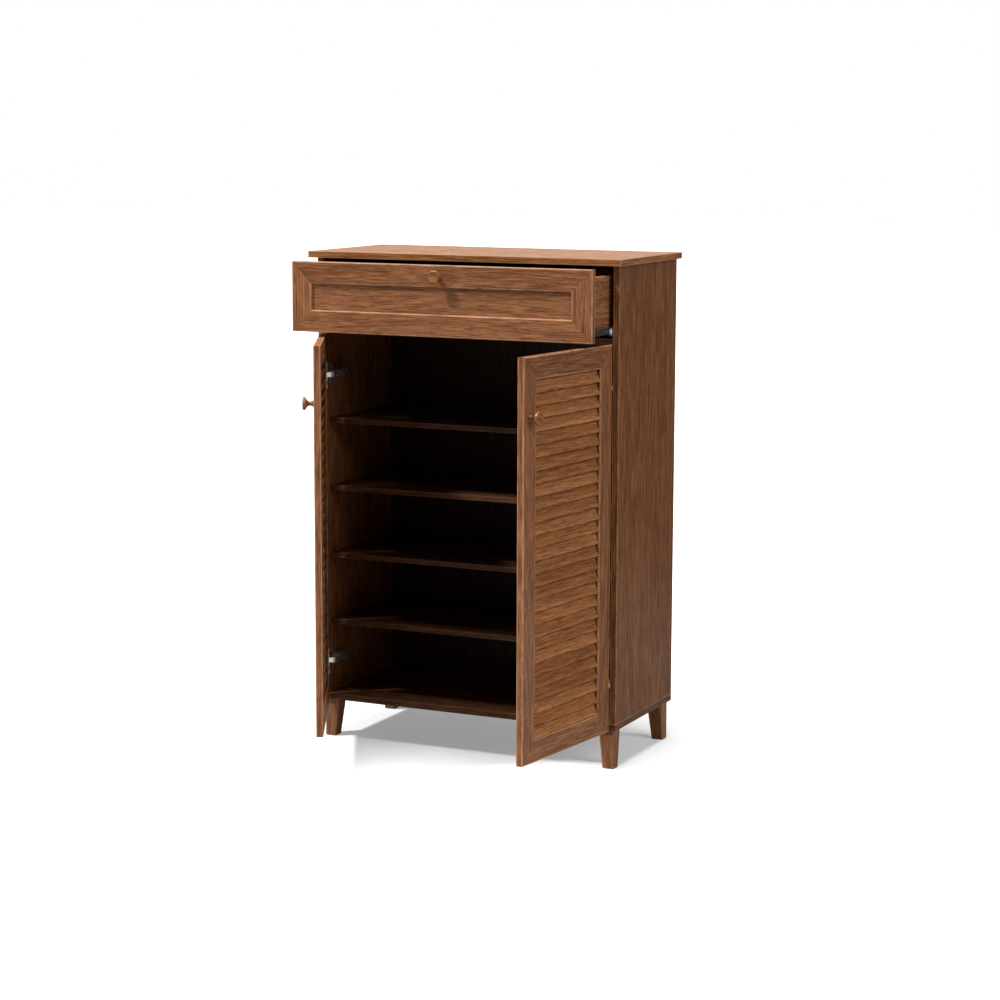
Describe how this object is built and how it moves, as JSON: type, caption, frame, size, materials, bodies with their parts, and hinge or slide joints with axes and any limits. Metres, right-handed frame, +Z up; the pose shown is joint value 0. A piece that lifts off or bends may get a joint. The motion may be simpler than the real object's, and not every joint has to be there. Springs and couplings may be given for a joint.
{
  "type": "shoe cabinet",
  "caption": "Free-standing shoe cabinet on tapered legs, with a drawer on roller runners above louvred doors that swing on concealed hinges in front of flat shelves.",
  "frame": {"origin": "on the floor, at the centre of the footprint with the doors as stored", "axes": "+X to the cabinet's right-hand side as seen from the front, +Y from the doors to the back, +Z up"},
  "size_m": [0.78, 0.7193, 1.148],
  "materials": {
    "front_wood": "satin woodgrain laminate",
    "body_wood": "satin woodgrain laminate",
    "inner_wood": "matt woodgrain laminate",
    "knob_wood": "turned wood, satin lacquer",
    "nickel": "nickel plated pressed steel",
    "zinc": "zinc plated rolled steel",
    "nylon": "white nylon"
  },
  "bodies": {
    "cabinet": {"top_panel": "body_wood", "left_side_panel": "body_wood", "right_side_panel": "body_wood", "bottom_panel": "body_wood", "back_panel": "inner_wood", "drawer_divider": "inner_wood", "shelf_1": "inner_wood", "shelf_2": "inner_wood", "shelf_3": "inner_wood", "shelf_4": "inner_wood", "leg_front_right": "body_wood", "leg_front_left": "body_wood", "leg_back_right": "body_wood", "leg_back_left": "body_wood", "right_cabinet_runner": "zinc", "left_cabinet_runner": "zinc", "right_upper_hinge_plate": "nickel", "right_upper_hinge_arm": "nickel", "right_lower_hinge_plate": "nickel", "right_lower_hinge_arm": "nickel", "left_upper_hinge_plate": "nickel", "left_upper_hinge_arm": "nickel", "left_lower_hinge_plate": "nickel", "left_lower_hinge_arm": "nickel"},
    "drawer": {"drawer_front_top_rail": "front_wood", "drawer_front_bottom_rail": "front_wood", "drawer_front_left_stile": "front_wood", "drawer_front_right_stile": "front_wood", "drawer_front_panel": "front_wood", "drawer_right_side": "front_wood", "drawer_left_side": "front_wood", "drawer_back": "front_wood", "drawer_bottom": "inner_wood", "right_drawer_runner": "zinc", "left_drawer_runner": "zinc", "drawer_knob": "knob_wood"},
    "right_door": {"right_door_top_rail": "front_wood", "right_door_bottom_rail": "front_wood", "right_door_meeting_stile": "front_wood", "right_door_hinge_stile": "front_wood", "right_door_louvre": "front_wood", "right_door_knob": "knob_wood", "right_door_upper_hinge_cup": "nickel", "right_door_lower_hinge_cup": "nickel"},
    "left_door": {"left_door_top_rail": "front_wood", "left_door_bottom_rail": "front_wood", "left_door_meeting_stile": "front_wood", "left_door_hinge_stile": "front_wood", "left_door_louvre": "front_wood", "left_door_knob": "knob_wood", "left_door_upper_hinge_cup": "nickel", "left_door_lower_hinge_cup": "nickel"},
    "right_hinge_links": {"right_upper_hinge_link": "nickel", "right_lower_hinge_link": "nickel"},
    "left_hinge_links": {"left_upper_hinge_link": "nickel", "left_lower_hinge_link": "nickel"},
    "right_front_roller": {"right_front_roller": "nylon"},
    "left_front_roller": {"left_front_roller": "nylon"},
    "right_back_roller": {"right_back_roller": "nylon"},
    "left_back_roller": {"left_back_roller": "nylon"}
  },
  "joints": [
    {"name": "drawer_slide", "type": "slide", "parent": "cabinet", "child": "drawer", "axis": [0, -1, 0], "range_m": [-0.116, 0.134]},
    {"name": "right_door_hinge", "type": "hinge", "parent": "cabinet", "child": "right_door", "pos_m": [0.363, -0.0005, 0.5255], "axis": [0, 0, 1], "range_deg": [-83, 12]},
    {"name": "left_door_hinge", "type": "hinge", "parent": "cabinet", "child": "left_door", "pos_m": [-0.363, -0.0005, 0.5255], "axis": [0, 0, -1], "range_deg": [-63, 32]},
    {"name": "right_link_pivot", "type": "hinge", "parent": "cabinet", "child": "right_hinge_links", "pos_m": [0.338, 0.007, 0.863], "axis": [0, 0, 1], "range_deg": [-7, 42.5]},
    {"name": "left_link_pivot", "type": "hinge", "parent": "cabinet", "child": "left_hinge_links", "pos_m": [-0.338, 0.007, 0.863], "axis": [0, 0, -1], "range_deg": [-17, 32.5]},
    {"name": "right_front_roller_spin", "type": "hinge", "parent": "cabinet", "child": "right_front_roller", "pos_m": [0.3563, 0.023, 0.989], "axis": [1, 0, 0], "continuous": true},
    {"name": "left_front_roller_spin", "type": "hinge", "parent": "cabinet", "child": "left_front_roller", "pos_m": [-0.3563, 0.023, 0.989], "axis": [1, 0, 0], "continuous": true},
    {"name": "right_back_roller_spin", "type": "hinge", "parent": "drawer", "child": "right_back_roller", "pos_m": [0.3563, 0.206, 0.9883], "axis": [1, 0, 0], "continuous": true},
    {"name": "left_back_roller_spin", "type": "hinge", "parent": "drawer", "child": "left_back_roller", "pos_m": [-0.3563, 0.206, 0.9883], "axis": [1, 0, 0], "continuous": true}
  ],
  "couplings": [
    {"joint": "right_link_pivot", "follows": "right_door_hinge", "ratio": -0.5},
    {"joint": "left_link_pivot", "follows": "left_door_hinge", "ratio": -0.5},
    {"joint": "right_front_roller_spin", "follows": "drawer_slide", "rad_per_m": 125},
    {"joint": "right_back_roller_spin", "follows": "drawer_slide", "rad_per_m": 125},
    {"joint": "left_front_roller_spin", "follows": "drawer_slide", "rad_per_m": 125},
    {"joint": "left_back_roller_spin", "follows": "drawer_slide", "rad_per_m": 125}
  ]
}
